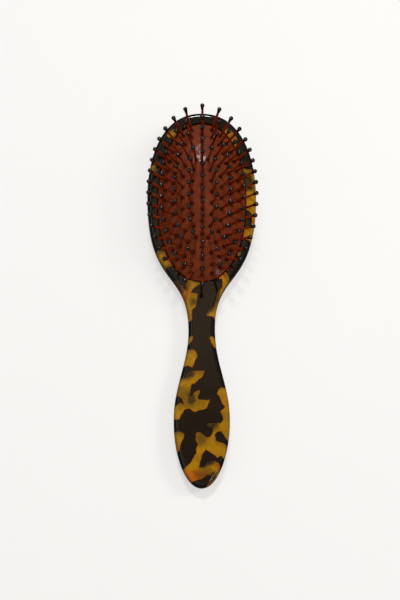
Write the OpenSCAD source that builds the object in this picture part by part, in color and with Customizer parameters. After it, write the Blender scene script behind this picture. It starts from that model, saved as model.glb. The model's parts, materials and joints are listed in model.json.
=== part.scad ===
// Oval cushion hairbrush lying on its flat back.
// A one-piece slab body holds a domed, air-filled rubber cushion in an oval pocket.
// The cushion carries 115 pins in four oval rings around a centre row, each with a ball tip.
// Pins that sink equally far when the cushion is pressed share a zone, from 1 at the crown to 7 at the edge.
// +Z is up through the pins, +Y runs from the handle to the top of the head.

/* [Body] */
// Overall length of the body
body_length = 216; // [214:1:220]
// Widest part of the head
head_width = 62.4; // [62:0.2:66]
// Height of the head's widest part above the middle of the body, along Y
head_y = 58; // [56:1:60]
// Narrowest part of the neck
neck_width = 14.8; // [13:0.2:18]
// Widest part of the handle
handle_width = 31; // [28:0.5:34]
// Thickness of the slab
body_thickness = 12; // [11.6:0.2:14]
// Edge rounding on the pin side
face_round = 2.8; // [2:0.1:3.2]
// Edge rounding on the back
back_round = 4; // [3:0.1:4.4]

/* [Cushion] */
// Width of the cushion where it leaves the pocket
cushion_width = 50.4; // [49.6:0.2:51]
// Length of the cushion where it leaves the pocket
cushion_length = 94.4; // [93:0.2:95]
// Distance of the cushion's middle from the middle of the body, along Y
cushion_y = 54; // [53.6:0.1:54.4]
// Radius of the dome across the brush
dome_radius = 40; // [38:0.5:44]
// Depth of the cushion's edge below the body's face
edge_drop = 0.8; // [0.6:0.1:1]
// Thickness of the rubber membrane
membrane = 1.8; // [1.5:0.1:2]
// Thickness of the floor left under the pocket
pocket_floor = 3.6; // [3:0.1:4]
// Diameter of the air vent
vent_diameter = 1.3; // [1:0.1:1.6]

/* [Pins] */
// Length of a pin from the cushion's surface to the middle of its ball
pin_length = 17; // [14:0.5:18]
// Diameter of a pin's shaft
shaft_diameter = 1.35; // [1.1:0.05:1.4]
// Diameter of the ball tip
ball_diameter = 2.5; // [2.3:0.05:2.6]
// Diameter of the flat head under the membrane
pin_head_diameter = 2.8; // [2.4:0.1:3]
// Angle between neighbouring rings across the dome
ring_angle = 8; // [7.6:0.1:8]
// Spacing of the pins in the centre row
row_pitch = 6.9; // [6.5:0.1:7]

/* [Hidden] */
$fn = 48;
fit_gap = 0.15;        // clearance all round the cushion in its pocket
slide_gap = 0.06;      // radial clearance of a shaft in the membrane
socket_gap = 0.02;     // radial clearance of a shaft's end in its ball tip
curve_steps = 12;      // points along each curve of the outline
round_steps = 5;       // facets across a rounded edge
oval_sides = 72;       // flats round an oval wall
oval_power = 2.15;     // a little fuller than an ellipse
cut = 1;               // how far a cutting solid runs past what it cuts

// Outline anchors and the lengths of their tangents, down the right-hand side
neck_y = -20;
handle_y = -71;
top_reach = 24;
head_rise = 22;
head_fall = 54;
neck_rise = 36;
neck_fall = 20;
handle_rise = 20;
handle_fall = 19;
end_reach = 9;

// Cushion seat
flange_width = 1.4;
flange_thickness = 1.6;
flange_z = body_thickness - 4.4;
half_w = cushion_width / 2;
half_l = cushion_length / 2;
dome_rise = dome_radius - sqrt(pow(dome_radius, 2) - pow(half_w, 2));
dome_radius_y = (pow(half_l, 2) + pow(dome_rise, 2)) / (2 * dome_rise);
crown_z = body_thickness - edge_drop + dome_rise;
vent_y = -31.2;

// Pins
rings = 4;
row_count = 7;
shaft_r = shaft_diameter / 2;
ball_r = ball_diameter / 2;
head_depth = membrane + 0.5;
head_thickness = 0.8;
collar_length = 1.4;   // tapered collar below the ball
collar_wall = 0.14;    // wall of the collar at its thin end
collar_angle = 40;     // where the collar meets the ball, below its middle
socket_depth = 0.3;    // how far short of the ball's middle the shaft stops
zones = 7;
crown_share = 0.94;    // pins that follow at least this much of the crown's travel are in zone 1
inner_fan = 0.2;       // degrees of lean along the brush for each millimetre from the cushion's middle
outer_fan = 0.3;       // the same for the outermost ring
end_fan = 17;          // extra lean along the brush, reached at its two ends
corner_fan = 9;        // extra lean across the brush, reached at its two ends
corner_start = 4;      // distance from the centre row over which that extra lean sets in
fan_reach = 44;        // distance from the cushion's middle at which both are full

// ---- Body -------------------------------------------------------------------------------

function bezier(p, t) =
    pow(1 - t, 3) * p[0] + 3 * t * pow(1 - t, 2) * p[1] + 3 * t * t * (1 - t) * p[2] + pow(t, 3) * p[3];

function bezier_slope(p, t) =
    pow(1 - t, 2) * (p[1] - p[0]) + 2 * t * (1 - t) * (p[2] - p[1]) + t * t * (p[3] - p[2]);

top_point = [0, body_length / 2];
head_point = [head_width / 2, head_y];
neck_point = [neck_width / 2, neck_y];
handle_point = [handle_width / 2, handle_y];
end_point = [0, -body_length / 2];
curves = [
    [top_point, top_point + [top_reach, 0], head_point + [0, head_rise], head_point],
    [head_point, head_point - [0, head_fall], neck_point + [0, neck_rise], neck_point],
    [neck_point, neck_point - [0, neck_fall], handle_point + [0, handle_rise], handle_point],
    [handle_point, handle_point - [0, handle_fall], end_point + [end_reach, 0], end_point],
];

// The outward normal of a clockwise curve
function outward(v) = [-v.y, v.x] / norm(v);

// Right-hand side, top to bottom, as [point, outward normal] pairs
right_side = [
    for (c = curves) for (i = [0 : curve_steps - 1])
        [bezier(c, i / curve_steps), outward(bezier_slope(c, i / curve_steps))],
    [end_point, [0, -1]],
];
last = len(right_side) - 1;
outline = concat(
    right_side,
    [for (i = [last - 1 : -1 : 1]) let (q = right_side[i]) [[-q[0].x, q[0].y], [-q[1].x, q[1].y]]]
);

// [inset, height] of each layer, from the back's flat to the face's flat
layers = concat(
    [for (i = [0 : round_steps]) let (a = 90 * i / round_steps)
        [back_round * (1 - sin(a)), back_round * (1 - cos(a))]],
    [for (i = [0 : round_steps]) let (a = 90 * i / round_steps)
        [face_round * (1 - cos(a)), body_thickness - face_round * (1 - sin(a))]]
);

module slab() {
    n = len(outline);
    points = [for (l = layers) for (q = outline) [q[0].x - l[0] * q[1].x, q[0].y - l[0] * q[1].y, l[1]]];
    walls = [for (k = [0 : len(layers) - 2]) for (j = [0 : n - 1])
        [k * n + j, k * n + (j + 1) % n, (k + 1) * n + (j + 1) % n, (k + 1) * n + j]];
    face = (len(layers) - 1) * n;
    // Each flat is a ladder of four-sided strips from the right side to the left
    strips = [for (i = [1 : last - 2]) [i, i + 1, n - i - 1, n - i]];
    ends = [[0, 1, n - 1], [last - 1, last, last + 1]];
    face_flat = [for (s = concat(strips, ends)) [for (v = s) face + v]];
    back_flat = [for (s = concat(strips, ends)) [for (i = [len(s) - 1 : -1 : 0]) s[i]]];
    polyhedron(points = points, faces = concat(walls, face_flat, back_flat), convexity = 4);
}

// ---- Ovals and dome ---------------------------------------------------------------------

function oval_axis(v) = sign(v) * pow(abs(v), 2 / oval_power);

// Point at angle t round an oval of half-axes a and b, clockwise from its top
function oval_point(a, b, t) = [a * oval_axis(sin(t)), b * oval_axis(cos(t))];

// Upright oval wall round the cushion's middle, grown by `grow` and standing from z to z + h
module oval_block(grow, z, h)
    translate([0, cushion_y, z])
        linear_extrude(h)
            polygon([for (i = [0 : oval_sides - 1]) oval_point(half_w + grow, half_l + grow, 360 * i / oval_sides)]);

// Solid under the dome's surface, or under one `depth` below it
module dome(depth)
    translate([0, cushion_y, crown_z - dome_radius_y])
        rotate([0, 90, 0])
            rotate_extrude($fn = 144)
                translate([dome_radius_y - dome_radius, 0])
                    circle(r = dome_radius - depth, $fn = 96);

// Height of the dome's surface at a point measured from the cushion's middle
function dome_z(p) =
    crown_z - dome_radius_y
    + sqrt(pow(dome_radius_y - dome_radius + sqrt(pow(dome_radius, 2) - p.x * p.x), 2) - p.y * p.y);

// ---- Pin layout -------------------------------------------------------------------------

// Half-axes of a ring of pin feet: even angles across the dome, closing up towards its ends
function ring_axes(k) = [dome_radius * sin(k * ring_angle), half_l * sin(26 + 10.5 * k)];

function running_length(path) =
    [for (i = 0, s = 0; i < len(path); s = s + (i + 1 < len(path) ? norm(path[i + 1] - path[i]) : 0), i = i + 1) s];

// Feet of a ring's pins, evenly spaced along its oval, clockwise from the top
function ring_feet(k) =
    let (
        axes = ring_axes(k),
        turns = [for (t = [0 : 1 : 360]) t],
        run = running_length([for (t = turns) oval_point(axes.x, axes.y, t)]),
        table = [for (t = turns) [run[t], t]],
        count = 12 + 6 * k
    )
    [for (i = [0 : count - 1]) oval_point(axes.x, axes.y, lookup(i * run[360] / count, table))];

// Every foot as [x, y, ring], where the centre row counts as ring 0
feet = concat(
    [for (i = [0 : row_count - 1]) [0, (i - (row_count - 1) / 2) * row_pitch, 0]],
    [for (k = [1 : rings]) for (p = ring_feet(k)) [p.x, p.y, k]]
);

// Share of the crown's travel that the membrane follows at a foot, from 0 at its edge to 1
function share(p) =
    let (h = 1 - (crown_z - dome_z(p)) / dome_rise)
    h * h * (3 - 2 * h);

function zone(p) =
    share(p) > crown_share ? 1 : zones - floor(share(p) / crown_share * (zones - 1));

function side(p) = p.x < -0.01 ? "left" : "right";

function zone_feet(z, s) = [for (p = feet) if (zone(p) == z && side(p) == s) p];

// Pins stand square to the dome at its widest and fan out ever faster towards its two ends
function lean_x(p) =
    asin(p.x / dome_radius)
    + corner_fan * p.x / norm([p.x, corner_start]) * pow(abs(p.y) / fan_reach, 2.5);

function lean_y(p) =
    (p.z == rings ? outer_fan : inner_fan) * p.y
    + end_fan * sign(p.y) * pow(abs(p.y) / fan_reach, 8);

module at_feet(list)
    for (p = list)
        translate([p.x, cushion_y + p.y, dome_z(p)])
            rotate([-lean_y(p), lean_x(p), 0])
                children();

// ---- Sub-parts --------------------------------------------------------------------------

module brush_body()
    color([0.30, 0.19, 0.08])
        difference() {
            slab();
            oval_block(fit_gap, pocket_floor, body_thickness);
            oval_block(flange_width + fit_gap, flange_z - fit_gap, flange_thickness + 2 * fit_gap);
        }

module cushion_pad()
    color([0.50, 0.25, 0.17])
        difference() {
            union() {
                intersection() {
                    oval_block(0, flange_z, crown_z);
                    dome(0);
                }
                oval_block(flange_width, flange_z, flange_thickness);
            }
            intersection() {
                oval_block(-membrane, flange_z - cut, crown_z);
                dome(membrane);
            }
            at_feet(feet)
                shaft_hole();
            translate([0, cushion_y + vent_y, body_thickness])
                cylinder(d = vent_diameter, h = crown_z);
        }

module shaft_hole()
    translate([0, 0, -membrane - 2 * cut])
        cylinder(r = shaft_r + slide_gap, h = membrane + 4 * cut);

// A shaft with a flat head that the membrane rests on
module pin() {
    translate([0, 0, -head_depth])
        cylinder(r = shaft_r, h = head_depth + pin_length - socket_depth - socket_gap);
    translate([0, 0, -head_depth - head_thickness])
        cylinder(d = pin_head_diameter, h = head_thickness);
}

// A ball that runs down into a collar, with a blind socket for the shaft
module tip() {
    socket_r = shaft_r + socket_gap;
    foot_z = -ball_r - collar_length;
    translate([0, 0, pin_length])
        rotate_extrude()
            difference() {
                union() {
                    intersection() {
                        circle(r = ball_r);
                        translate([0, -ball_r])
                            square([ball_r, 2 * ball_r]);
                    }
                    polygon([
                        [0, 0],
                        [ball_r * cos(collar_angle), -ball_r * sin(collar_angle)],
                        [socket_r + collar_wall, foot_z],
                        [0, foot_z],
                    ]);
                }
                translate([-cut, foot_z - cut])
                    square([cut + socket_r, cut - foot_z - socket_depth]);
            }
}

module pins_zone(z, s)
    color([0.36, 0.10, 0.03])
        at_feet(zone_feet(z, s))
            pin();

module tips_zone(z, s)
    color([0.05, 0.05, 0.05])
        at_feet(zone_feet(z, s))
            tip();

brush_body();
cushion_pad();
pins_zone(1, "left");  // pins_zone_1_left
pins_zone(1, "right");  // pins_zone_1_right
pins_zone(2, "left");  // pins_zone_2_left
pins_zone(2, "right");  // pins_zone_2_right
pins_zone(3, "left");  // pins_zone_3_left
pins_zone(3, "right");  // pins_zone_3_right
pins_zone(4, "left");  // pins_zone_4_left
pins_zone(4, "right");  // pins_zone_4_right
pins_zone(5, "left");  // pins_zone_5_left
pins_zone(5, "right");  // pins_zone_5_right
pins_zone(6, "left");  // pins_zone_6_left
pins_zone(6, "right");  // pins_zone_6_right
pins_zone(7, "left");  // pins_zone_7_left
pins_zone(7, "right");  // pins_zone_7_right
tips_zone(1, "left");  // tips_zone_1_left
tips_zone(1, "right");  // tips_zone_1_right
tips_zone(2, "left");  // tips_zone_2_left
tips_zone(2, "right");  // tips_zone_2_right
tips_zone(3, "left");  // tips_zone_3_left
tips_zone(3, "right");  // tips_zone_3_right
tips_zone(4, "left");  // tips_zone_4_left
tips_zone(4, "right");  // tips_zone_4_right
tips_zone(5, "left");  // tips_zone_5_left
tips_zone(5, "right");  // tips_zone_5_right
tips_zone(6, "left");  // tips_zone_6_left
tips_zone(6, "right");  // tips_zone_6_right
tips_zone(7, "left");  // tips_zone_7_left
tips_zone(7, "right");  // tips_zone_7_right
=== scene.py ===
"""Oval cushion hairbrush: its looks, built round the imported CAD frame.

Geometry is worked out in millimetres and turned into metres when a mesh is made.
+Z is up through the pins, +Y runs from the handle to the top of the head.
"""
import json
import math
import random

import bmesh
import bpy
import numpy as np
from mathutils import Matrix, Vector, noise
from mathutils.geometry import delaunay_2d_cdt

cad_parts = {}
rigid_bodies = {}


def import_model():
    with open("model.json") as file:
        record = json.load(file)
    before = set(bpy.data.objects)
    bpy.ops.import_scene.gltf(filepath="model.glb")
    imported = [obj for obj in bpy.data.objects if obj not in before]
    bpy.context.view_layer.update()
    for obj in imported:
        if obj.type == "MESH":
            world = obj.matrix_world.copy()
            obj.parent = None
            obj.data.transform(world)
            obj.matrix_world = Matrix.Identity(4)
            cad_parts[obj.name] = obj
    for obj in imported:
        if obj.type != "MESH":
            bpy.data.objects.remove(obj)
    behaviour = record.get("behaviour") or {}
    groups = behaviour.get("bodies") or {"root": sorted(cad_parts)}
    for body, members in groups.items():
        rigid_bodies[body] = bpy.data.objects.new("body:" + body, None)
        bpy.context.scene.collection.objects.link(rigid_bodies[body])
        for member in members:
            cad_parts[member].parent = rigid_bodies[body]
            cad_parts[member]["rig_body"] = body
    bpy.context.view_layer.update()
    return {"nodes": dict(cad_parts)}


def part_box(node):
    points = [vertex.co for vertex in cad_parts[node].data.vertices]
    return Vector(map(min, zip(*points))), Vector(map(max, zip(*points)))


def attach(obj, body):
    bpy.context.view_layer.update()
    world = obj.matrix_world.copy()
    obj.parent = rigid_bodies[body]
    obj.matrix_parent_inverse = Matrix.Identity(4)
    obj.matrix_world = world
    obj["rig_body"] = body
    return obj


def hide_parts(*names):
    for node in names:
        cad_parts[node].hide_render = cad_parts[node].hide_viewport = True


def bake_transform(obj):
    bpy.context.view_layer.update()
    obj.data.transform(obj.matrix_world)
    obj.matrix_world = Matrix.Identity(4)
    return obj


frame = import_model()

MM = 0.001


def box_mm(node):
    """A CAD node's lowest and highest corners in millimetres."""
    low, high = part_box(node)
    return np.array(low) / MM, np.array(high) / MM


# ---- Sizes, from the frame and from the design's own small features ----------------------

body_low, body_high = box_mm("brush_body")
pad_low, pad_high = box_mm("cushion_pad")

THICKNESS = body_high[2]
HALF_LENGTH = body_high[1]
HALF_HEAD = body_high[0]
HEAD_Y, NECK_Y, HANDLE_Y = 58.0, -20.0, -71.0
HALF_NECK, HALF_HANDLE = 7.4, 15.5
TOP_REACH, END_REACH = 24, 9            # lengths of the outline's tangents at its anchors
HEAD_RISE, HEAD_FALL = 22, 54
NECK_RISE, NECK_FALL = 36, 20
HANDLE_RISE, HANDLE_FALL = 20, 19
FACE_ROUND, BACK_ROUND = 2.8, 4.0
SUPPORT = 0.25          # flat margin that keeps the shading of a flat face flat
CURVE_STEPS = 400       # fine points along each curve, before they are spaced evenly
OUTLINE_PITCH = 0.9     # spacing of points along the outline
# Inner points of the three flats: spacing and least distance from the edge
FACE_GRID, BACK_GRID, FLOOR_GRID = (1.1, 0.5), (1.3, 0.6), (4.0, 1.5)

OVAL_POWER = 2.15
FIT_GAP = 0.15
FLANGE = 1.4
RIM_ROUND = 0.45        # rounding of the pocket's rim
POCKET_FLOOR = 3.6
GROOVE_LOW, GROOVE_HIGH = 7.45, 9.35
FLANGE_LOW, FLANGE_HIGH = GROOVE_LOW + 0.15, GROOVE_HIGH - 0.2
OVAL_STEPS = 240

PAD_Y = (pad_low[1] + pad_high[1]) / 2
HALF_PAD_W = (pad_high[0] - pad_low[0]) / 2 - FLANGE
HALF_PAD_L = (pad_high[1] - pad_low[1]) / 2 - FLANGE
CROWN_Z = pad_high[2]
DOME_RADIUS = 40.0
DOME_RISE = DOME_RADIUS - math.sqrt(DOME_RADIUS**2 - HALF_PAD_W**2)
DOME_RADIUS_Y = (HALF_PAD_L**2 + DOME_RISE**2) / (2 * DOME_RISE)
MEMBRANE = 1.8
PAD_SHRINK = 0.35       # the rubber's wall stands this far inside the pocket's opening
PAD_ROLL = 0.7          # radius of the cushion's rolled edge
PAD_PITCH = 1.0         # spacing of points on the cushion
PAD_FAR = 9.0           # distance noted for points that have no pin near
VENT_Y = PAD_Y - 31.2
VENT_RADIUS = 0.65
VENT = (np.array([0, VENT_Y, 0]), np.array([0, 0, 1.0]))    # foot and direction, as a pin has

SHAFT_RADIUS = 0.675
PIN_LENGTH = 17.0
SHAFT_SHORT = 0.32      # the shaft ends this far below the ball's middle
HEAD_RADIUS = 1.4       # flat head under the membrane
HEAD_DEPTH = MEMBRANE + 0.5
HEAD_THICKNESS = 0.8
PIN_BOW = 0.22          # a pin bends at most this far sideways at mid-length
BALL_RADIUS = 1.25
COLLAR_RADIUS = 0.80
COLLAR_LENGTH = 1.4
SOCKET_GAP = 0.02
SOCKET_RADIUS = SHAFT_RADIUS + SOCKET_GAP
HOLE_RADIUS = SHAFT_RADIUS + 0.03   # of a pin's hole in the rubber
PIN_SIDES = 14
TIP_SIDES = 18


# ---- Mesh helpers -------------------------------------------------------------------------


class Shell:
    """Points in millimetres with the faces between them."""

    def __init__(self):
        self.points = []
        self.faces = []

    def add(self, points):
        """Adds points and gives back their numbers."""
        first = len(self.points)
        self.points += [tuple(p) for p in points]
        return list(range(first, len(self.points)))

    def bridge(self, a, b):
        """Quads between two closed rings of as many points."""
        count = len(a)
        self.faces += [(a[i], a[(i + 1) % count], b[(i + 1) % count], b[i]) for i in range(count)]

    def cap(self, ring):
        """Closes a small ring with one face."""
        self.faces.append(tuple(ring))

    def fill(self, rings, inner, z, keep):
        """Fills the flat between rings, using loose inner points as well."""
        loose = self.add([(x, y, z) for x, y in inner])
        numbers = [v for ring in rings for v in ring] + loose
        flat = [self.points[v][:2] for v in numbers]
        for face in triangles(flat, [len(ring) for ring in rings], keep):
            self.faces.append(tuple(numbers[v] for v in face))

    def build(self, name, sharp_angle=40):
        """Makes the mesh object, in metres, with its faces turned outwards."""
        mesh = bpy.data.meshes.new(name)
        mesh.from_pydata([Vector(p) * MM for p in self.points], [], self.faces)
        work = bmesh.new()
        work.from_mesh(mesh)
        bmesh.ops.recalc_face_normals(work, faces=work.faces)
        for face in work.faces:
            face.smooth = True
        work.to_mesh(mesh)
        work.free()
        mesh.set_sharp_from_angle(angle=math.radians(sharp_angle))
        made = bpy.data.objects.new(name, mesh)
        bpy.context.scene.collection.objects.link(made)
        return made


def triangles(flat, ring_counts, keep):
    """Delaunay triangles over closed rings followed by loose points; keep(middles) picks them."""
    edges = []
    first = 0
    for count in ring_counts:
        edges += [(first + i, first + (i + 1) % count) for i in range(count)]
        first += count
    points, _, faces, origins, _, _ = delaunay_2d_cdt([Vector(p) for p in flat], edges, [], 0, 1e-5)
    place = np.array([[p.x, p.y] for p in points])
    corners = np.array(faces)
    middles = place[corners].mean(axis=1)
    number = [o[0] if o else -1 for o in origins]
    chosen = corners[keep(middles)]
    return [[number[v] for v in face] for face in chosen]


def inside_depth(points, corners):
    """How far each point lies inside a closed outline; negative outside it."""
    points = np.asarray(points, float)
    corners = np.asarray(corners, float)
    nearest = np.full(len(points), 1e9)
    odd = np.zeros(len(points), bool)
    for a, b in zip(corners, np.roll(corners, -1, axis=0)):
        edge = b - a
        along = np.clip((points - a) @ edge / (edge @ edge), 0, 1)
        gap = points - a - along[:, None] * edge
        nearest = np.minimum(nearest, np.hypot(gap[:, 0], gap[:, 1]))
        crosses = (a[1] > points[:, 1]) != (b[1] > points[:, 1])
        rise = edge[1] if edge[1] else 1.0
        odd ^= crosses & (points[:, 0] < a[0] + (points[:, 1] - a[1]) * edge[0] / rise)
    return np.where(odd, nearest, -nearest)


def smooth_step(value, low, high):
    """0 at low, 1 at high, with an eased rise between them."""
    t = np.clip((value - low) / (high - low), 0, 1)
    return t * t * (3 - 2 * t)


def hex_points(low, high, pitch):
    """Points of a hexagonal grid over a rectangle."""
    rows = np.arange(low[1], high[1], pitch * math.sqrt(0.75))
    made = []
    for k, y in enumerate(rows):
        xs = np.arange(low[0] + (k % 2) * pitch / 2, high[0], pitch)
        made.append(np.column_stack([xs, np.full(len(xs), y)]))
    return np.concatenate(made)


def grid_inside(edge, low, high, pitch, margin):
    """Points of such a grid that lie inside a closed outline by more than a margin."""
    grid = hex_points(low, high, pitch)
    return grid[inside_depth(grid, edge) > margin]


def set_attribute(obj, name, values):
    """Gives each point of a mesh a value that a material can read."""
    layer = obj.data.attributes.new(name, "FLOAT", "POINT")
    layer.data.foreach_set("value", np.asarray(values, np.float32))


# ---- Outline of the body, as in the CAD source --------------------------------------------


def bezier(p, t):
    """Points at the shares t along a cubic curve with the four control points p."""
    t = t[:, None]
    return (1 - t) ** 3 * p[0] + 3 * t * (1 - t) ** 2 * p[1] + 3 * t * t * (1 - t) * p[2] + t**3 * p[3]


def outline():
    """Points and outward normals of the body's outline, clockwise from the top."""
    top = np.array([0, HALF_LENGTH])
    head = np.array([HALF_HEAD, HEAD_Y])
    neck = np.array([HALF_NECK, NECK_Y])
    handle = np.array([HALF_HANDLE, HANDLE_Y])
    end = np.array([0, -HALF_LENGTH])
    right, up = np.array([1, 0]), np.array([0, 1])
    curves = [
        (top, top + TOP_REACH * right, head + HEAD_RISE * up, head),
        (head, head - HEAD_FALL * up, neck + NECK_RISE * up, neck),
        (neck, neck - NECK_FALL * up, handle + HANDLE_RISE * up, handle),
        (handle, handle - HANDLE_FALL * up, end + END_REACH * right, end),
    ]
    shares = np.linspace(0, 1, CURVE_STEPS)[:-1]
    fine = np.concatenate([bezier(np.array(c, float), shares) for c in curves] + [[end]])
    run = np.concatenate([[0], np.cumsum(np.hypot(*np.diff(fine, axis=0).T))])
    steps = int(round(run[-1] / OUTLINE_PITCH))
    at = np.linspace(0, run[-1], steps + 1)
    side = np.column_stack([np.interp(at, run, fine[:, 0]), np.interp(at, run, fine[:, 1])])
    loop = np.concatenate([side, side[-2:0:-1] * [-1, 1]])
    along = np.roll(loop, -1, axis=0) - np.roll(loop, 1, axis=0)
    normal = np.column_stack([-along[:, 1], along[:, 0]]) / np.hypot(*along.T)[:, None]
    return loop, normal


OUTLINE, OUTWARD = outline()


def outline_ring(inset, z):
    """The body's outline, drawn in by `inset`, at a height."""
    flat = OUTLINE - inset * OUTWARD
    return np.column_stack([flat, np.full(len(flat), z)])


def oval_ring(grow, z, steps=OVAL_STEPS):
    """An oval round the cushion's middle, grown from the cushion's own edge."""
    t = np.linspace(0, 2 * math.pi, steps, endpoint=False)
    power = 2 / OVAL_POWER
    x = (HALF_PAD_W + grow) * np.sign(np.sin(t)) * np.abs(np.sin(t)) ** power
    y = (HALF_PAD_L + grow) * np.sign(np.cos(t)) * np.abs(np.cos(t)) ** power
    return np.column_stack([x, PAD_Y + y, np.broadcast_to(z, len(t))])


# ---- Tortoiseshell pattern ----------------------------------------------------------------

# Chips in the face's plane, painted one over another: (dark or amber, corners).
# Corners are millimetres from the body's middle.
CHIPS = [
    # Dark head and neck, running down into the right half of the handle
    ("dark", [(-40, 112), (40, 112), (40, -48), (13, -52.5), (10, -53), (8.2, -57), (9.5, -58), (11, -61),
              (12.7, -64), (10.2, -66.3), (11.5, -68.5), (11.8, -71), (10.3, -73), (3, -73), (2.5, -75),
              (5.5, -75.7), (6.5, -77), (5.3, -80), (3, -81), (1, -79.3), (-1, -78), (-3.5, -78),
              (-3.5, -70), (-2.5, -66), (2, -65), (5, -60), (-2, -60), (-1.8, -57), (-0.7, -53.7),
              (-2.5, -54.8), (-5, -56.8), (-5, -58), (-6.3, -58), (-6.6, -55), (-6.3, -52), (-3.5, -50.5),
              (-1.5, -48.8), (0.5, -47.2), (1.7, -44), (-5, -43.6), (-8, -44.5), (-9.5, -47.5),
              (-40, -46)]),
    # Left lobe and the column below it
    ("dark", [(-7, -65), (-9.5, -65.3), (-11.3, -68.5), (-12.5, -71.2), (-18, -70), (-18, -76.5),
              (-12, -77.5), (-9.7, -78.5), (-9.6, -81.3), (-11.5, -84), (-12, -87.5), (-18, -90),
              (-16, -98), (-9.5, -97.3), (-7.5, -96), (-4.5, -92), (-2.6, -89.5), (-2.8, -87),
              (-2.2, -84), (-3.6, -82.5), (-3.3, -78), (-2, -70), (-2.5, -66.2), (-3.7, -67), (-5.3, -66)]),
    # Chips of the lower handle
    ("dark", [(7, -79), (8.5, -77.8), (10.3, -77.3), (12, -79.5), (13.5, -81.3), (18, -82.5), (18, -86),
              (13.5, -84.5), (10.5, -83.5), (8, -83)]),
    ("dark", [(2, -87.3), (4, -88.3), (7, -90.5), (8, -92.3), (9.3, -91.3), (10.8, -90.9), (12, -91.7),
              (17, -91.5), (14, -99), (10.3, -98), (10, -96), (8.8, -94.6), (6.5, -93.2), (3.5, -93.8),
              (0.8, -97), (-1.6, -97), (-0.5, -93), (1, -89)]),
    ("dark", [(-18, -57), (-13, -57.2), (-11.3, -59), (-9.6, -62.5), (-12, -61.5), (-13.5, -62.5),
              (-18, -63)]),
    ("dark", [(-6, -104.3), (-2.5, -103.7), (0.5, -102.8), (2.5, -101.5), (5, -101.6), (4.8, -104),
              (3.5, -106), (4, -111), (-9, -111)]),
    # Amber on the neck
    ("amber", [(-12, -31.5), (-7, -32), (-3.7, -32.3), (-2, -35.7), (-4.3, -38.3), (-5.5, -42), (-8, -41),
               (-12, -40)]),
    ("amber", [(-10, -25.5), (-5, -24), (-5.2, -26), (-7, -28.5), (-10, -28)]),
    ("amber", [(4.6, -24.5), (6.5, -24.2), (10, -26), (10, -30), (7, -30), (5.5, -28)]),
    ("amber", [(6.5, -7), (8, -4), (8.6, 0), (10.5, 3), (16, 6), (14, -14), (8, -14), (7, -13.2),
               (2.5, -13), (2.3, -12), (4, -9)]),
    ("amber", [(-7, 9.5), (-2, 7), (-1, 5.2), (-3.5, 4), (-7, 0.8), (-9.5, 2.5), (-8.5, 6)]),
    ("amber", [(-16, 4), (-9.5, 2.6), (-7, 0.7), (-2.3, 0.2), (-2.6, -4), (-3.2, -7), (-4.5, -8.5),
               (-6.2, -9.3), (-5.4, -13), (-5.8, -15.5), (-10, -16)]),
    # Amber round the head
    ("amber", [(-19.5, 95.3), (-16, 97.5), (-14.5, 95), (-15.5, 92.5), (-19, 92.3), (-20.2, 93.4)]),
    ("amber", [(-34, 75.5), (-27.5, 76), (-25.5, 74), (-25.8, 72), (-34, 71.5)]),
    ("amber", [(-34, 25), (-23.5, 24.8), (-20.5, 24), (-19.5, 21), (-17.3, 19.5), (-15.5, 17), (-18, 15.3),
               (-20.5, 15), (-16.5, 10.5), (-12, 5.5), (-9.5, 2.5), (-14, -2), (-34, 0)]),
    ("amber", [(13.5, 98), (17, 97.5), (20, 92.5), (20.2, 89), (17.5, 89.5), (15, 91.5), (13.5, 95)]),
    ("amber", [(17.5, 90), (19.7, 89.5), (20.7, 86), (19, 84.5), (17, 87)]),
    ("amber", [(23.5, 73.5), (34, 73), (34, 31), (24, 31.5), (22, 33), (24.3, 38), (28.3, 39.8),
               (28.5, 46), (27.5, 48.7), (24.5, 49.2), (24.5, 60), (23, 70)]),
    ("amber", [(9, 13), (13.5, 13), (15.3, 9.5), (18, 6), (12, 3), (11.3, 4.5), (12, 7.5), (9.8, 10)]),
    ("amber", [(20, 24.8), (22, 24.2), (21.7, 21.8), (20, 22.3)]),
]
# Smoky brown that drifts through the amber: (strength, width of its soft border, corners)
SMOKE = [
    (1.00, 2.6, [(-12, -42), (-4, -43), (-4.5, -46.5), (-8, -48.5), (-12, -48)]),
    (1.00, 1.8, [(-7.2, -56.5), (-4.4, -57), (-3.6, -60.5), (-5.2, -62.8), (-7.6, -61.5)]),
    (0.45, 2.6, [(-12, -53.5), (-6, -54), (-1, -54), (4, -59), (-1, -64), (-12, -64.5)]),
    (1.00, 2.6, [(2, -71.5), (9, -71.5), (8, -75.2), (5.5, -77), (1.5, -76.5)]),
    (0.35, 2.0, [(11, -67), (15, -67), (15.5, -71), (11, -72)]),
    (0.60, 2.0, [(-4, -77), (0, -77.5), (2.5, -81), (-0.5, -85), (-4, -83)]),
    (1.00, 2.0, [(1, -91), (7, -92), (6.5, -94.5), (3.5, -95.5), (0.5, -97)]),
    (1.00, 1.5, [(1.5, -101.4), (7.6, -99.6), (7.5, -102), (4.8, -105)]),
    (0.55, 2.5, [(-4, -99.8), (5, -98), (4, -101.5), (-2, -103)]),
    (0.80, 1.8, [(-6.5, -3.4), (-3.4, -3.2), (-3, -5.8), (-5.8, -6.2)]),
    (1.00, 2.2, [(5.5, -4.5), (7.6, -5.5), (6, -9.5), (3.6, -10.5), (2.5, -12.5), (0.5, -9)]),
    (0.75, 1.8, [(8, 3), (10.5, 4), (9.3, -5), (7, -5.5)]),
    (1.00, 2.5, [(24, 71), (28, 70.5), (29, 62), (23.5, 60)]),
    (0.60, 2.0, [(-27.5, 75), (-24.5, 74.5), (-24.5, 71), (-27.5, 71.5)]),
    (0.80, 2.5, [(-22, 15.5), (-17.5, 15.5), (-9, 3), (-13, 1)]),
    (0.60, 2.0, [(-21, 98), (-14, 99), (-14, 95.5), (-20, 96)]),
]
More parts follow.
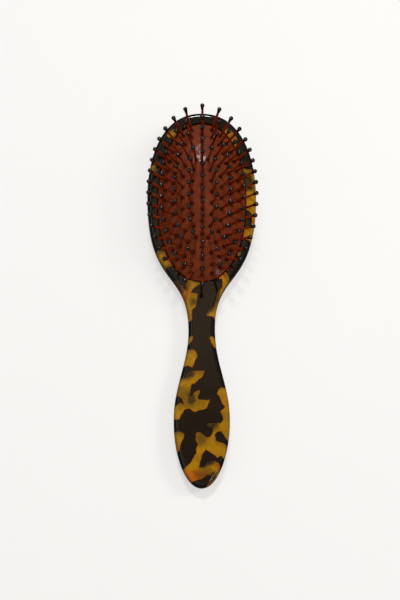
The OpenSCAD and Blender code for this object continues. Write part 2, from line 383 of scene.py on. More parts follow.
# Burnt orange where the amber runs thin against the dark, in the same form
BLUSH = [
    (0.80, 3.2, [(-10, -100), (-4, -99.5), (2, -101), (4, -102), (1, -104), (-7, -105)]),
    (0.70, 1.5, [(7.5, -95), (10, -95.5), (9.5, -98), (8, -97)]),
    (0.50, 2.0, [(9, -58), (11, -58), (13.5, -63), (10, -67.5), (9, -66)]),
    (0.25, 1.5, [(-15, -70), (-12, -70), (-11, -71.5), (-15, -71.5)]),
    (0.80, 1.6, [(24, 62), (25.6, 62), (25.6, 50), (24, 50)]),
    (0.90, 1.8, [(22, 36.5), (24.5, 36.5), (25, 31), (21.5, 32)]),
    (0.80, 1.6, [(28.5, 47), (31, 47), (31, 38), (28.5, 39)]),
    (0.50, 1.8, [(15, 94), (17.5, 94), (21, 86), (17, 86)]),
    (0.85, 1.8, [(-21.5, 25), (-19, 24), (-18.2, 20), (-21, 21)]),
    (0.80, 1.6, [(-18.5, 18.5), (-16, 19), (-15, 16), (-18, 15.5)]),
    (0.70, 1.8, [(9, 13), (12.8, 13), (13, 9.5), (10, 9)]),
    (0.60, 1.8, [(-13, 8), (-8, 3), (-9, -8), (-8, -16), (-14, -16)]),
]
CHIP_LEAN = np.array([0.35, 0.6])   # how far a chip drifts sideways for each millimetre of depth
CHIP_WOBBLE = ((0.6, 6.0, 3.1), (0.3, 1.9, 8.4))    # strength, size and seed of each waver of an edge
CHIP_LIMIT = 3.0        # distances past this are not needed by the material
CHIP_BELOW = 3.5        # depth of the chips that show dimly through the amber
FULL_INSIDE = 0.3       # a soft zone is at full strength this share of its border inside its outline
BACK_BLEND = (5.0, 8.5) # depths between which the face's pattern gives way to the back's
BACK_CHIP_X, BACK_CHIP_Y = 14, 15       # spacing of the back's chips
BACK_CHIP_SPAN = 36     # how far they go to each side
BACK_CHIP_SHIFT = 5     # how far one may stand off its place, each way
BACK_CHIP_REACH = (5, 9.5)


def back_chips():
    """Dark chips of the back, strewn with a fixed seed."""
    draw = random.Random(11)
    made = []
    for y in np.arange(-HALF_LENGTH, HALF_LENGTH + 1, BACK_CHIP_Y):
        for x in np.arange(-BACK_CHIP_SPAN, BACK_CHIP_SPAN + 1, BACK_CHIP_X):
            shift_x = draw.uniform(-BACK_CHIP_SHIFT, BACK_CHIP_SHIFT)
            shift_y = draw.uniform(-BACK_CHIP_SHIFT, BACK_CHIP_SHIFT)
            middle = np.array([x + shift_x, y + shift_y])
            turn = draw.uniform(0, 360)
            count = draw.choice([4, 5, 6])
            reach = draw.uniform(*BACK_CHIP_REACH)
            corners = []
            for k in range(count):
                a = math.radians(turn + 360 * k / count + draw.uniform(-18, 18))
                r = reach * draw.uniform(0.7, 1.25)
                corners.append(middle + [r * math.cos(a), 1.2 * r * math.sin(a)])
            made.append(corners)
    return made


BACK_CHIPS = back_chips()
noise.seed_set(3)       # without a seed noise_vector is different in every run


def wobble(points, size, seed):
    """A smooth random shift of each point, in the plane."""
    out = np.empty((len(points), 2))
    for i, p in enumerate(points):
        v = noise.noise_vector(Vector((p[0] / size + seed, p[1] / size, p[2] / size)))
        out[i] = v.x, v.y
    return out


def in_pattern(points, extra_depth=0.0):
    """Where each point lies in the face's pattern, how deep it is, and the back's share in it."""
    depth = THICKNESS - points[:, 2] + extra_depth
    shifted = points - [0, 0, extra_depth]
    at = points[:, :2] + depth[:, None] * CHIP_LEAN
    for strength, size, seed in CHIP_WOBBLE:
        at = at + strength * wobble(shifted, size, seed)
    return at, smooth_step(depth, *BACK_BLEND)


def darkness(points, extra_depth=0.0):
    """Signed distance into dark acetate: positive in a dark chip, negative in amber."""
    at, share = in_pattern(points, extra_depth)
    front = np.full(len(points), -CHIP_LIMIT)
    for kind, corners in CHIPS:
        inside = inside_depth(at, corners)
        front = np.maximum(front, inside) if kind == "dark" else np.minimum(front, -inside)
    back = np.full(len(points), -CHIP_LIMIT)
    for corners in BACK_CHIPS:
        back = np.maximum(back, inside_depth(at, corners))
    limit = (-CHIP_LIMIT, CHIP_LIMIT)
    return np.clip(front, *limit) * (1 - share) + np.clip(back, *limit) * share


def patches(points, zones):
    """Strength of soft-edged zones at each point, fading out towards the back."""
    at, share = in_pattern(points)
    strength = np.zeros(len(points))
    for top, border, corners in zones:
        inside = inside_depth(at, corners)
        strength = np.maximum(strength, top * smooth_step(inside, -border, FULL_INSIDE * border))
    return strength * (1 - share)


# ---- Body ---------------------------------------------------------------------------------


def make_body():
    """The acetate slab as one closed shell: outer skin, pocket with its groove, and three flats."""
    shell = Shell()
    layers = [(BACK_ROUND + SUPPORT, 0.0)]      # inset and height of each ring, from the back up
    for a in np.linspace(0, math.pi / 2, 9):
        layers.append((BACK_ROUND * (1 - math.sin(a)), BACK_ROUND * (1 - math.cos(a))))
    for z in np.linspace(BACK_ROUND, THICKNESS - FACE_ROUND, 6)[1:-1]:
        layers.append((0.0, z))
    for a in np.linspace(0, math.pi / 2, 11):
        layers.append((FACE_ROUND * (1 - math.cos(a)), THICKNESS - FACE_ROUND * (1 - math.sin(a))))
    layers.append((FACE_ROUND + SUPPORT, THICKNESS))
    rings = [shell.add(outline_ring(inset, z)) for inset, z in layers]
    for a, b in zip(rings, rings[1:]):
        shell.bridge(a, b)

    opening = FIT_GAP + RIM_ROUND
    steps = [(opening + SUPPORT, THICKNESS)]    # growth and height of each oval, from the rim down
    for a in np.linspace(0, math.pi / 2, 7):
        steps.append((opening - RIM_ROUND * math.sin(a), THICKNESS - RIM_ROUND * (1 - math.cos(a))))
    steps += [
        (FIT_GAP, GROOVE_HIGH), (FLANGE + FIT_GAP, GROOVE_HIGH), (FLANGE + FIT_GAP, GROOVE_LOW),
        (FIT_GAP, GROOVE_LOW), (FIT_GAP, POCKET_FLOOR),
    ]
    pocket = [shell.add(oval_ring(grow, z)) for grow, z in steps]
    for a, b in zip(pocket, pocket[1:]):
        shell.bridge(a, b)

    face_edge = np.array([shell.points[v][:2] for v in rings[-1]])
    rim = np.array([shell.points[v][:2] for v in pocket[0]])
    spots = grid_inside(face_edge, body_low, body_high, *FACE_GRID)
    spots = spots[inside_depth(spots, rim) < -FACE_GRID[1]]
    shell.fill(
        [rings[-1], pocket[0]], spots, THICKNESS,
        lambda m: (inside_depth(m, face_edge) > 0) & (inside_depth(m, rim) < 0),
    )
    back_edge = np.array([shell.points[v][:2] for v in rings[0]])
    shell.fill(
        [rings[0]], grid_inside(back_edge, body_low, body_high, *BACK_GRID), 0.0,
        lambda m: inside_depth(m, back_edge) > 0,
    )
    floor_edge = np.array([shell.points[v][:2] for v in pocket[-1]])
    shell.fill(
        [pocket[-1]], grid_inside(floor_edge, pad_low, pad_high, *FLOOR_GRID), POCKET_FLOOR,
        lambda m: inside_depth(m, floor_edge) > 0,
    )
    body = shell.build("acetate_body")
    points = np.array(shell.points)
    set_attribute(body, "darkness", darkness(points))
    set_attribute(body, "darkness_below", darkness(points, CHIP_BELOW))
    set_attribute(body, "smoke", patches(points, SMOKE))
    set_attribute(body, "blush", patches(points, BLUSH))
    return body


# ---- Pins and tips, read from the CAD solids ----------------------------------------------


def solids(node):
    """The separate solids of a CAD node, each as an array of points in millimetres."""
    work = bmesh.new()
    work.from_mesh(frame["nodes"][node].data)
    bmesh.ops.remove_doubles(work, verts=work.verts, dist=1e-6)
    work.verts.ensure_lookup_table()
    seen = set()
    found = []
    for start in work.verts:
        if start.index in seen:
            continue
        seen.add(start.index)
        stack, members = [start], []
        while stack:
            vertex = stack.pop()
            members.append(vertex.co / MM)
            for edge in vertex.link_edges:
                other = edge.other_vert(vertex)
                if other.index not in seen:
                    seen.add(other.index)
                    stack.append(other)
        found.append(np.array(members))
    work.free()
    return sorted(found, key=lambda p: (round(float(p[:, 1].mean()), 2), float(p[:, 0].mean())))


def axis_of(points):
    """Middle and upward direction of a round solid's own axis."""
    middle = points.mean(axis=0)
    _, _, directions = np.linalg.svd(points - middle)
    axis = directions[0] * np.sign(directions[0][2])
    return middle, axis


def pins_of(node):
    """Foot on the cushion and direction of every pin in a CAD node."""
    found = []
    for points in solids(node):
        middle, axis = axis_of(points)
        end = middle + axis * ((points - middle) @ axis).max()
        found.append((end - axis * (PIN_LENGTH - SHAFT_SHORT), axis))
    return found


PIN_NODES = sorted(n for n in frame["nodes"] if n.startswith("pins_zone"))
PINS = {node: pins_of(node) for node in PIN_NODES}
FEET = [pin for node in PIN_NODES for pin in PINS[node]]


def square_to(axis):
    """Two directions square to an axis and to each other."""
    side = np.cross(axis, [0.0, 1.0, 0.0])
    side /= np.linalg.norm(side)
    return side, np.cross(axis, side)


def turned(shell, centre_at, profile, axis, sides):
    """Adds a round solid with flat ends and counts its points; profile is (distance along, radius)."""
    u, v = square_to(axis)
    angles = np.linspace(0, 2 * math.pi, sides, endpoint=False)
    circle = np.cos(angles)[:, None] * u + np.sin(angles)[:, None] * v
    rings = []
    for along, radius in profile:
        rings.append(shell.add(centre_at(along) + radius * circle))
    for a, b in zip(rings, rings[1:]):
        shell.bridge(a, b)
    shell.cap(rings[0])
    shell.cap(rings[-1])
    return sum(len(r) for r in rings)


def pin_profile():
    """Flat head, shaft through the membrane and on up to its end in the tip."""
    head = -HEAD_DEPTH
    end = PIN_LENGTH - SHAFT_SHORT - SOCKET_GAP
    profile = [
        (head - HEAD_THICKNESS, HEAD_RADIUS - 0.2), (head - HEAD_THICKNESS + 0.1, HEAD_RADIUS),
        (head - 0.1, HEAD_RADIUS), (head, HEAD_RADIUS - 0.15), (head, SHAFT_RADIUS),
        (-0.4, SHAFT_RADIUS), (0.6, SHAFT_RADIUS),
    ]
    for share in (0.15, 0.3, 0.45, 0.6, 0.75, 0.9, 1.0):
        profile.append((share * end, SHAFT_RADIUS))
    return profile


def make_pins(node, draw):
    """Nylon shafts with their flat heads, each a little crooked and toned in its own way."""
    shell = Shell()
    tones, heights = [], []
    profile = pin_profile()
    for foot, axis in PINS[node]:
        bow = draw.uniform(-PIN_BOW, PIN_BOW)
        turn = draw.uniform(0, 2 * math.pi)
        u, v = square_to(axis)
        sideways = bow * (math.cos(turn) * u + math.sin(turn) * v)

        def centre_at(along):
            share = min(max(along / PIN_LENGTH, 0), 1)
            return foot + along * axis + sideways * math.sin(math.pi * share)

        count = turned(shell, centre_at, profile, axis, PIN_SIDES)
        tones += [draw.random()] * count
        heights += [max(along, 0) / PIN_LENGTH for along, _ in profile for _ in range(PIN_SIDES)]
    piece = shell.build("nylon_" + node)
    set_attribute(piece, "tone", tones)
    set_attribute(piece, "height", heights)
    return piece


def tip_profile():
    """Teardrop ball with its collar and the blind socket in it, from the top down and back up inside."""
    angles = np.radians(np.arange(6, 128, 12))
    profile = [(BALL_RADIUS * math.cos(a), BALL_RADIUS * math.sin(a)) for a in angles]
    foot = -BALL_RADIUS - COLLAR_LENGTH
    meet_z, meet_r = profile[-1]
    for t in (0.2, 0.4, 0.6, 0.8, 0.95):
        ease = 1 - (1 - t) ** 1.7
        profile.append((meet_z + t * (foot - meet_z), meet_r + ease * (COLLAR_RADIUS - meet_r)))
    return profile + [(foot, COLLAR_RADIUS - 0.04), (foot, SOCKET_RADIUS), (-0.3, SOCKET_RADIUS)]


def make_tips(node, draw):
    """Ball tips on the ends of a zone's pins, each toned in its own way."""
    shell = Shell()
    tones = []
    profile = tip_profile()
    for foot, axis in PINS[node.replace("tips", "pins")]:
        ball = foot + axis * PIN_LENGTH
        count = turned(shell, lambda along: ball + along * axis, profile, axis, TIP_SIDES)
        tones += [draw.random()] * count
    piece = shell.build("resin_" + node)
    set_attribute(piece, "tone", tones)
    return piece


# ---- Cushion ------------------------------------------------------------------------------


def dome_z(x, y):
    """Height of the cushion's surface; y is measured from the cushion's middle."""
    across = DOME_RADIUS_Y - DOME_RADIUS + np.sqrt(np.maximum(DOME_RADIUS**2 - x * x, 0))
    return CROWN_Z - DOME_RADIUS_Y + np.sqrt(np.maximum(across**2 - y * y, 0))


def around_foot(foot, axis, radius, count):
    """A ring on the cushion's surface, round where a pin or the vent goes through it."""
    u, v = square_to(axis)
    angles = np.linspace(0, 2 * math.pi, count, endpoint=False)
    return foot[:2] + radius * (np.cos(angles)[:, None] * u[:2] + np.sin(angles)[:, None] * v[:2])


def swell(gap, radius, width):
    """A soft ring of height 1 at a radius, or a bump where the radius is 0."""
    return np.exp(-(((gap - radius) / width) ** 2))


def pad_relief(points):
    """How the rubber rises and dips round each pin and the vent, and how near a pin it is."""
    ring_rise, dip, vent_rise, unevenness = 0.10, 0.24, 0.22, 0.10
    relief = np.zeros(len(points))
    nearest = np.full(len(points), PAD_FAR)
    for foot, _ in FEET:
        gap = np.hypot(points[:, 0] - foot[0], points[:, 1] - foot[1])
        relief += ring_rise * swell(gap, 1.45, 0.4) - dip * swell(gap, 0, 0.95)
        nearest = np.minimum(nearest, gap)
    gap = np.hypot(points[:, 0], points[:, 1] - VENT_Y)
    relief += vent_rise * swell(gap, 1.15, 0.38)
    for i, (x, y) in enumerate(points):
        relief[i] += unevenness * noise.noise(Vector((x / 9, y / 9, 0.4)))
    return relief, nearest


def cushion_plan(edge):
    """Points of the cushion's top as seen from above, its holes, and the triangles between them."""
    holes = [around_foot(foot, axis, HOLE_RADIUS, 12) for foot, axis in FEET]
    holes.append(around_foot(*VENT, VENT_RADIUS, 14))
    # Rings of points carry the swellings round pins and vent, and a plain grid keeps clear of them
    pin_rings = ((0.95, 14), (1.35, 16), (1.85, 18))
    collars = [around_foot(f, a, radius, count) for f, a in FEET for radius, count in pin_rings]
    collars += [around_foot(*VENT, radius, 18) for radius in (0.9, 1.2, 1.6, 2.1)]
    pin_clear, vent_clear, edge_clear, collar_clear = 2.3, 2.6, 0.6, 0.25
    grid = grid_inside(edge, pad_low, pad_high, PAD_PITCH, edge_clear)
    for foot, _ in FEET:
        grid = grid[np.hypot(grid[:, 0] - foot[0], grid[:, 1] - foot[1]) > pin_clear]
    grid = grid[np.hypot(grid[:, 0], grid[:, 1] - VENT_Y) > vent_clear]
    loose = np.concatenate([c[inside_depth(c, edge) > collar_clear] for c in collars] + [grid])
    flat = np.concatenate([edge] + holes + [loose])

    def keep(middles):
        """Picks the triangles inside the edge and outside each hole, which all fit in a 1 mm radius."""
        good = inside_depth(middles, edge) > 0
        for ring in holes:
            near = np.hypot(*(middles - ring.mean(axis=0)).T) < 1.0
            good[near] &= inside_depth(middles[near], ring) < 0
        return good

    return flat, holes, triangles(flat, [len(edge)] + [len(h) for h in holes], keep)


def make_cushion():
    """The rubber membrane as one closed shell: domed top, holes, rolled edge, flange and underside."""
    shell = Shell()
    top_grow = -PAD_SHRINK - PAD_ROLL
    edge = oval_ring(top_grow, 0)[:, :2]
    flat, holes, faces = cushion_plan(edge)
    relief, nearest = pad_relief(flat)
    fade = smooth_step(inside_depth(flat, edge), 0.0, 1.5)
    height = dome_z(flat[:, 0], flat[:, 1] - PAD_Y)
    top = shell.add(np.column_stack([flat, height + relief * fade]))
    under = shell.add(np.column_stack([flat, height - MEMBRANE]))
    shell.faces += [tuple(top[v] for v in f) for f in faces]
    shell.faces += [tuple(under[v] for v in reversed(f)) for f in faces]
    first = len(edge)
    for ring in holes:
        numbers = range(first, first + len(ring))
        shell.bridge([top[v] for v in numbers], [under[v] for v in numbers])
        first += len(ring)

    # The edge rolls over, drops into the gap and runs out into the flange in its groove
    edge_z = height[: len(edge)]
    rings = [top[: len(edge)]]
    for a in np.radians((15, 35, 55, 75, 90)):
        drop = PAD_ROLL * (1 - math.cos(a)) + 0.1 * math.sin(a)
        rings.append(shell.add(oval_ring(top_grow + PAD_ROLL * math.sin(a), edge_z - drop)))
    for grow, z in (
        (-PAD_SHRINK, FLANGE_HIGH), (FLANGE - 0.1, FLANGE_HIGH), (FLANGE, FLANGE_HIGH - 0.15),
        (FLANGE, FLANGE_LOW + 0.1), (FLANGE - 0.1, FLANGE_LOW), (-MEMBRANE, FLANGE_LOW),
    ):
        rings.append(shell.add(oval_ring(grow, z)))
    rings.append(under[: len(edge)])
    for a, b in zip(rings, rings[1:]):
        shell.bridge(a, b)

    cushion = shell.build("rubber_cushion", 60)
    spare = len(shell.points) - 2 * len(flat)
    set_attribute(cushion, "pin_gap", np.concatenate([nearest, nearest, np.full(spare, PAD_FAR)]))
    return cushion


# ---- Node helpers -------------------------------------------------------------------------


class Nodes:
    """A material's node tree with short calls for the nodes used here."""

    def __init__(self, tree):
        self.tree = tree

    def put(self, kind, **settings):
        made = self.tree.nodes.new(kind)
        for name, value in settings.items():
            setattr(made, name, value)
        return made

    def plug(self, socket, value):
        if isinstance(value, bpy.types.NodeSocket):
            self.tree.links.new(value, socket)
        else:
            socket.default_value = value

    def math(self, operation, a, b=0.0, c=0.0, clamp=False):
        made = self.put("ShaderNodeMath", operation=operation, use_clamp=clamp)
        for socket, value in zip(made.inputs, (a, b, c)):
            self.plug(socket, value)
        return made.outputs[0]

    def scale(self, value, low, high, to_low=0.0, to_high=1.0, smooth=False):
        made = self.put("ShaderNodeMapRange", interpolation_type="SMOOTHSTEP" if smooth else "LINEAR")
        for socket, item in zip(made.inputs, (value, low, high, to_low, to_high)):
            self.plug(socket, item)
        return made.outputs[0]

    def mix(self, share, a, b, blend="MIX"):
        made = self.put("ShaderNodeMix", data_type="RGBA", blend_type=blend)
        for name, value in (("Factor", share), ("A", a), ("B", b)):
            socket = [s for s in made.inputs if s.name == name and s.enabled][0]
            self.plug(socket, (*value, 1.0) if isinstance(value, tuple) and len(value) == 3 else value)
        return [s for s in made.outputs if s.enabled][0]

    def place(self, stretch=(1, 1, 1)):
        """Object coordinates in millimetres, stretched per axis."""
        coordinates = self.put("ShaderNodeTexCoord").outputs["Object"]
        made = self.put("ShaderNodeMapping")
        self.plug(made.inputs["Vector"], coordinates)
        made.inputs["Scale"].default_value = [s / MM for s in stretch]
        return made.outputs[0]

    def noise(self, place, size, detail=2.0, rough=0.5):
        """Noise around 0.5 whose lumps are about `size` millimetres."""
        made = self.put("ShaderNodeTexNoise")
        self.plug(made.inputs["Vector"], place)
        made.inputs["Scale"].default_value = 1 / size
        made.inputs["Detail"].default_value = detail
        made.inputs["Roughness"].default_value = rough
        return made.outputs["Fac"]

    def wave(self, axis, pitch):
        """A sine between 0 and 1 along one axis, in millimetres."""
        made = self.put("ShaderNodeTexWave", wave_type="BANDS", bands_direction=axis)
        self.plug(made.inputs["Vector"], self.place())
        made.inputs["Scale"].default_value = math.pi / 10 / pitch
        return made.outputs["Fac"]

    def attribute(self, name):
        return self.put("ShaderNodeAttribute", attribute_name=name).outputs["Fac"]

    def ramp(self, share, stops):
        made = self.put("ShaderNodeValToRGB")
        elements = made.color_ramp.elements
        while len(elements) < len(stops):
            elements.new(0.5)
        for element, (at, colour) in zip(elements, stops):
            element.position = at
            element.color = (*colour, 1.0)
        self.plug(made.inputs["Fac"], share)
        return made.outputs["Color"]

    def bump(self, height, distance, strength=1.0, under=None):
        made = self.put("ShaderNodeBump")
        made.inputs["Strength"].default_value = strength
        made.inputs["Distance"].default_value = distance * MM
        self.plug(made.inputs["Height"], height)
        if under is not None:
            self.plug(made.inputs["Normal"], under)
        return made.outputs[0]


def new_material(name):
    """A material, its node helper and its Principled shader."""
    made = bpy.data.materials.new(name)
    made.use_nodes = True
    return made, Nodes(made.node_tree), made.node_tree.nodes["Principled BSDF"]


# ---- Materials ----------------------------------------------------------------------------

WEAVE_PITCH = 1.1       # millimetres between the threads moulded into the rubber

# Colours, as linear red, green and blue
AMBER, DEEP_AMBER, AMBER_STREAK = (0.375, 0.172, 0.0003), (0.245, 0.122, 0.0006), (0.18, 0.080, 0.0008)
BURNT_ORANGE = (0.40, 0.078, 0.0005)
SMOKY_BROWN = (0.028, 0.016, 0.004)
CHIP_DARK, CHIP_PALE = (0.0035, 0.0022, 0.0018), (0.0060, 0.0036, 0.0026)
PAINTED_EDGE_SHADE = (0.42, 0.31, 0.30)         # painted shade: darkens the acetate where it turns down to its sides
TERRACOTTA, PALE_TERRACOTTA = (0.200, 0.031, 0.005), (0.265, 0.050, 0.010)
# Painted shade: between the weave's threads, and round the pins together with some grime
SHADE_BETWEEN_THREADS, SHADE_AND_GRIME_ROUND_PINS = (0.060, 0.006, 0.002), (0.040, 0.004, 0.001)
DARK_NYLON, RED_NYLON, PALE_NYLON = (0.13, 0.006, 0.001), (0.27, 0.028, 0.003), (0.34, 0.042, 0.004)
# Painted shade at the foot of each pin and just under its ball
SHADED_PIN_ENDS = (0.045, 0.002, 0.001)
BLACK, SOFT_BLACK, HAZE_GREY = (0.002, 0.002, 0.002), (0.005, 0.005, 0.005), (0.010, 0.009, 0.009)


def acetate_material():
    """Polished tortoiseshell: dark chips with burnt orange borders in smoky, translucent amber."""
    made, n, shader = new_material("tortoiseshell_acetate")
    place = n.place()
    grain = n.noise(place, 0.9, 3.0)
    clouds = n.noise(place, 7.0, 2.0)
    streaks = n.noise(n.place((1, 0.25, 1)), 1.4, 3.0)
    depth = n.math("ADD", n.attribute("darkness"), n.scale(grain, 0.3, 0.7, -0.12, 0.12))

    amber = n.mix(n.scale(clouds, 0.35, 0.65), AMBER, DEEP_AMBER)
    amber = n.mix(n.scale(streaks, 0.5, 0.8, 0.0, 0.4), amber, AMBER_STREAK)
    fringe = n.scale(depth, -0.9, -0.1, 0.0, 0.5, smooth=True)
    fringe = n.math("MULTIPLY", fringe, n.scale(clouds, 0.35, 0.6, 0.4, 1.0))
    amber = n.mix(n.math("MAXIMUM", n.attribute("blush"), fringe), amber, BURNT_ORANGE)
    below = n.scale(n.attribute("darkness_below"), -0.8, 2.0, 0.0, 0.45, smooth=True)
    drift = n.scale(n.noise(place, 2.2, 3.0), 0.35, 0.65, 0.88, 1.12)
    smoke = n.math("MULTIPLY", n.math("MAXIMUM", n.attribute("smoke"), below), drift, clamp=True)
    amber = n.mix(smoke, amber, SMOKY_BROWN)

    brown = n.mix(n.scale(grain, 0.4, 0.6), CHIP_DARK, CHIP_PALE)
    chip = n.scale(depth, -0.22, 0.20, smooth=True)
    colour = n.mix(chip, amber, brown)
    # Painted shade: the acetate is darkened where its surface turns down to the sides.
    upright = n.put("ShaderNodeSeparateXYZ")
    n.plug(upright.inputs[0], n.put("ShaderNodeNewGeometry").outputs["Normal"])
    edge = n.scale(n.math("ABSOLUTE", upright.outputs["Z"]), 0.10, 0.80, 0.8, 0.0, smooth=True)
    colour = n.mix(edge, colour, n.mix(1.0, colour, PAINTED_EDGE_SHADE, "MULTIPLY"))
    n.plug(shader.inputs["Base Color"], colour)

    wear = n.noise(n.place((1, 0.12, 1)), 0.5, 4.0, 0.6)
    n.plug(shader.inputs["Roughness"], n.scale(wear, 0.45, 0.8, 0.05, 0.13))
    n.plug(shader.inputs["Normal"], n.bump(n.noise(place, 14.0, 1.0), 0.12, 0.6, n.bump(wear, 0.0015, 0.4)))
    shader.inputs["IOR"].default_value = 1.49
    return made


def rubber_material():
    """Satin terracotta rubber with a fine moulded weave; painted shade darkens the weave's grooves and,
    with some grime, the dips round the pins.
    """
    made, n, shader = new_material("terracotta_rubber")
    place = n.place()
    clouds = n.noise(place, 11.0, 3.0)
    grain = n.noise(place, 0.35, 3.0, 0.6)
    weave = n.math("MULTIPLY", n.wave("X", WEAVE_PITCH), n.wave("Y", WEAVE_PITCH))
    colour = n.mix(n.scale(clouds, 0.35, 0.65), TERRACOTTA, PALE_TERRACOTTA)
    # Painted shade in the grooves between the weave's threads.
    colour = n.mix(n.scale(weave, 0.0, 0.5, 0.85, 0.0), colour, SHADE_BETWEEN_THREADS)
    # Painted shade in the dips round each pin, with some grime there too.
    near = n.scale(n.attribute("pin_gap"), 0.7, 2.0, 0.8, 0.0, smooth=True)
    colour = n.mix(near, colour, SHADE_AND_GRIME_ROUND_PINS)
    n.plug(shader.inputs["Base Color"], colour)
    n.plug(shader.inputs["Roughness"], n.scale(grain, 0.3, 0.7, 0.34, 0.50))
    n.plug(shader.inputs["Normal"], n.bump(grain, 0.03, 0.5, n.bump(weave, 0.15, 0.9)))
    shader.inputs["Specular IOR Level"].default_value = 0.10
    shader.inputs["Coat Weight"].default_value = 0.09
    shader.inputs["Coat Roughness"].default_value = 0.10
    return made


def nylon_material():
    """Translucent red-brown nylon, each pin a little different, with painted shade at its foot and just
    under its ball.
    """
    made, n, shader = new_material("red_brown_nylon")
    flow = n.noise(n.place((1, 1, 0.2)), 0.8, 2.0)
    colour = n.mix(n.attribute("tone"), DARK_NYLON, RED_NYLON)
    colour = n.mix(n.scale(flow, 0.4, 0.7, 0.0, 0.5), colour, PALE_NYLON)
    # Painted shade: darker at the foot, among the crowded pins, and just under the ball.
    foot = n.scale(n.attribute("height"), 0.0, 0.45, 0.75, 0.0, smooth=True)
    end = n.scale(n.attribute("height"), 0.75, 1.0, 0.0, 0.5)
    colour = n.mix(n.math("MAXIMUM", foot, end), colour, SHADED_PIN_ENDS)
    n.plug(shader.inputs["Base Color"], colour)
    n.plug(shader.inputs["Roughness"], n.scale(flow, 0.3, 0.7, 0.24, 0.38))
    n.plug(shader.inputs["Normal"], n.bump(flow, 0.02, 0.5))
    shader.inputs["Specular IOR Level"].default_value = 0.3
    shader.inputs["Subsurface Weight"].default_value = 0.25
    shader.inputs["Subsurface Radius"].default_value = (1.0, 0.28, 0.10)
    shader.inputs["Subsurface Scale"].default_value = 0.9 * MM
    return made


def resin_material():
    """Glossy black resin with faint mould haze."""
    made, n, shader = new_material("black_resin")
    haze = n.noise(n.place(), 0.7, 3.0)
    colour = n.mix(n.attribute("tone"), BLACK, SOFT_BLACK)
    colour = n.mix(n.scale(haze, 0.5, 0.8, 0.0, 0.5), colour, HAZE_GREY)
    n.plug(shader.inputs["Base Color"], colour)
    n.plug(shader.inputs["Roughness"], n.scale(haze, 0.35, 0.75, 0.05, 0.14))
    n.plug(shader.inputs["Normal"], n.bump(haze, 0.02, 0.4))
    shader.inputs["Specular IOR Level"].default_value = 0.8
    return made


def floor_material():
    """Matt pale paper whose own glow keeps its shadows soft; shiny things mirror it only dimly."""
    made, n, shader = new_material("pale_floor")
    mottle = n.noise(n.place(), 60.0, 3.0)
    paper = n.mix(mottle, (0.345, 0.343, 0.337), (0.357, 0.355, 0.349))
    mirrored = n.put("ShaderNodeLightPath").outputs["Is Glossy Ray"]
    n.plug(shader.inputs["Base Color"], n.mix(mirrored, paper, (0.05, 0.05, 0.05)))
    n.plug(shader.inputs["Emission Color"], (1.0, 0.992, 0.973, 1.0))
    n.plug(shader.inputs["Emission Strength"], n.scale(mirrored, 0.0, 1.0, 0.555, 0.02))
    n.plug(shader.inputs["Roughness"], n.scale(mottle, 0.3, 0.7, 0.85, 0.95))
    shader.inputs["Specular IOR Level"].default_value = 0.1
    return made


# ---- Camera, light and floor --------------------------------------------------------------


CAMERA_PITCH, CAMERA_YAW = math.radians(12.5), math.radians(1.1)
CAMERA_DISTANCE = 0.7   # metres
CAMERA_LENS = 73.55
AIM_SHIFT = (-0.0008, -0.00104)     # from the body's middle to where the camera aims, in metres
WARM_WHITE = (1.0, 0.98, 0.95)


def make_camera():
    """Looks down on the brush, tilted towards the handle's side and a touch to the left."""
    data = bpy.data.cameras.new("camera")
    data.lens = CAMERA_LENS
    data.sensor_width = 36.0
    centre = (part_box("brush_body")[0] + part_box("brush_body")[1]) / 2
    aim = Vector((centre.x + AIM_SHIFT[0], centre.y + AIM_SHIFT[1], 0))
    away = Vector((-math.sin(CAMERA_YAW), -math.sin(CAMERA_PITCH), math.cos(CAMERA_PITCH))).normalized()
    across = Vector((0, 1, 0)).cross(away).normalized()
    camera = bpy.data.objects.new("camera", data)
    camera.location = aim + CAMERA_DISTANCE * away
    camera.rotation_euler = Matrix((across, away.cross(across), away)).transposed().to_euler()
    bpy.context.scene.collection.objects.link(camera)
    bpy.context.scene.camera = camera


def make_light(name, azimuth, elevation, distance, size, power, colour=(1, 1, 1)):
    """A soft box aimed at the brush: metres and watts; azimuth 0 is the top of the head, 90 its right."""
    data = bpy.data.lights.new(name, "AREA")
    data.shape = "RECTANGLE"
    data.size, data.size_y = size
    data.energy = power
    data.color = colour
    a, e = math.radians(azimuth), math.radians(elevation)
    away = Vector((math.sin(a) * math.cos(e), math.cos(a) * math.cos(e), math.sin(e)))
    lamp = bpy.data.objects.new(name, data)
    lamp.location = away * distance
    lamp.rotation_euler = away.to_track_quat("Z", "Y").to_euler()
    bpy.context.scene.collection.objects.link(lamp)
    return lamp


def grey(value):
    """A colour that is neither warm nor cool."""
    return (value, value, value)


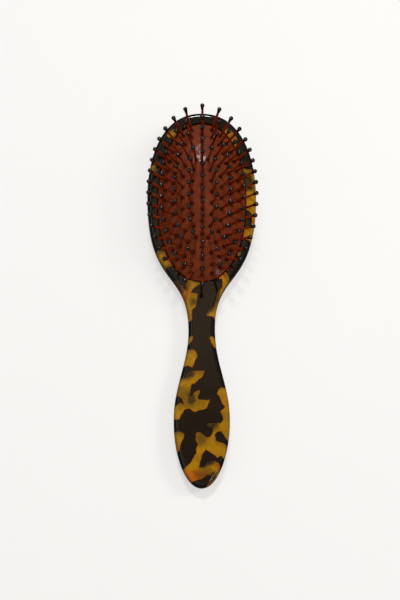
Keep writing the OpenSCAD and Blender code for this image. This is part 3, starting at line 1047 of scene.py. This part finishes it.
def make_world():
    """Soft light mostly from overhead, a pale backdrop, and a room of its own for shiny surfaces.

    That room is dark but for a warm ring halfway up, which lights the rounded edges, and a warm glow
    overhead. It is brighter on the left.
    """
    ring = (1.0, 0.92, 0.82)
    world = bpy.data.worlds.new("room")
    bpy.context.scene.world = world
    world.use_nodes = True
    n = Nodes(world.node_tree)
    split = n.put("ShaderNodeSeparateXYZ")
    n.plug(split.inputs[0], n.put("ShaderNodeTexCoord").outputs["Generated"])
    lit = world.node_tree.nodes["Background"]
    n.plug(lit.inputs["Color"], n.ramp(split.outputs["Z"], [
        (0.0, grey(0.06)), (0.5, grey(0.20)), (0.8, grey(0.55)), (0.93, grey(0.95)), (1.0, grey(1.0)),
    ]))
    lit.inputs["Strength"].default_value = 0.90
    mirrored = n.put("ShaderNodeBackground")
    n.plug(mirrored.inputs["Color"], n.ramp(split.outputs["Z"], [
        (0.0, grey(0.08)), (0.25, grey(0.08)), (0.35, grey(0.02)),
        (0.57, grey(0.02)), (0.63, ring), (0.72, ring), (0.80, grey(0.04)),
        (0.93, (0.26, 0.20, 0.14)), (0.955, (0.54, 0.42, 0.25)), (0.982, (0.67, 0.46, 0.26)),
        (0.993, (0.29, 0.18, 0.10)),
    ]))
    n.plug(mirrored.inputs["Strength"], n.scale(split.outputs["X"], -0.6, 0.6, 1.4, 0.6))
    mix = n.put("ShaderNodeMixShader")
    n.plug(mix.inputs[0], n.put("ShaderNodeLightPath").outputs["Is Glossy Ray"])
    n.plug(mix.inputs[1], lit.outputs[0])
    n.plug(mix.inputs[2], mirrored.outputs[0])
    backdrop = n.put("ShaderNodeBackground")
    n.plug(backdrop.inputs["Color"], (0.74, 0.74, 0.73, 1.0))
    seen = n.put("ShaderNodeMixShader")
    n.plug(seen.inputs[0], n.put("ShaderNodeLightPath").outputs["Is Camera Ray"])
    n.plug(seen.inputs[1], mix.outputs[0])
    n.plug(seen.inputs[2], backdrop.outputs[0])
    n.plug(world.node_tree.nodes["World Output"].inputs["Surface"], seen.outputs[0])


def make_floor():
    """A square of paper under the brush, 5 m wide."""
    shell = Shell()
    half = 2500
    ring = shell.add([(-half, -half, 0), (half, -half, 0), (half, half, 0), (-half, half, 0)])
    shell.cap(ring)
    floor = shell.build("floor")
    floor.data.materials.append(floor_material())


# ---- Everything together ------------------------------------------------------------------

make_camera()
make_world()
# Three lights shape the brush without being mirrored in it, and two only glint on it
make_light("key", -6, 66, 1.2, (0.15, 0.15), 6.6, WARM_WHITE).visible_glossy = False
make_light("side", 75, 45, 1.0, (0.30, 0.30), 3.3, WARM_WHITE).visible_glossy = False
make_light("left", -110, 35, 0.9, (0.4, 0.2), 0.4, (1.0, 0.97, 0.93)).visible_glossy = False
make_light("glint_top", 0, 44, 1.1, (0.18, 0.10), 4.6).visible_diffuse = False
make_light("glint_low", 128, 54, 1.1, (0.26, 0.04), 0.8).visible_diffuse = False
make_floor()
bpy.context.scene.view_settings.view_transform = "Standard"

body = make_body()
body.data.materials.append(acetate_material())
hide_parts("brush_body")
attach(body, "handle")

cushion = make_cushion()
cushion.data.materials.append(rubber_material())
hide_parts("cushion_pad")
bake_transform(cushion)

nylon = nylon_material()
resin = resin_material()
seeded = random.Random(5)
for node in PIN_NODES:
    pins = make_pins(node, seeded)
    pins.data.materials.append(nylon)
    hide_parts(node)
    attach(pins, frame["nodes"][node]["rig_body"])
    tip_node = node.replace("pins", "tips")
    tips = make_tips(tip_node, seeded)
    tips.data.materials.append(resin)
    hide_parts(tip_node)
    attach(tips, frame["nodes"][tip_node]["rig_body"])
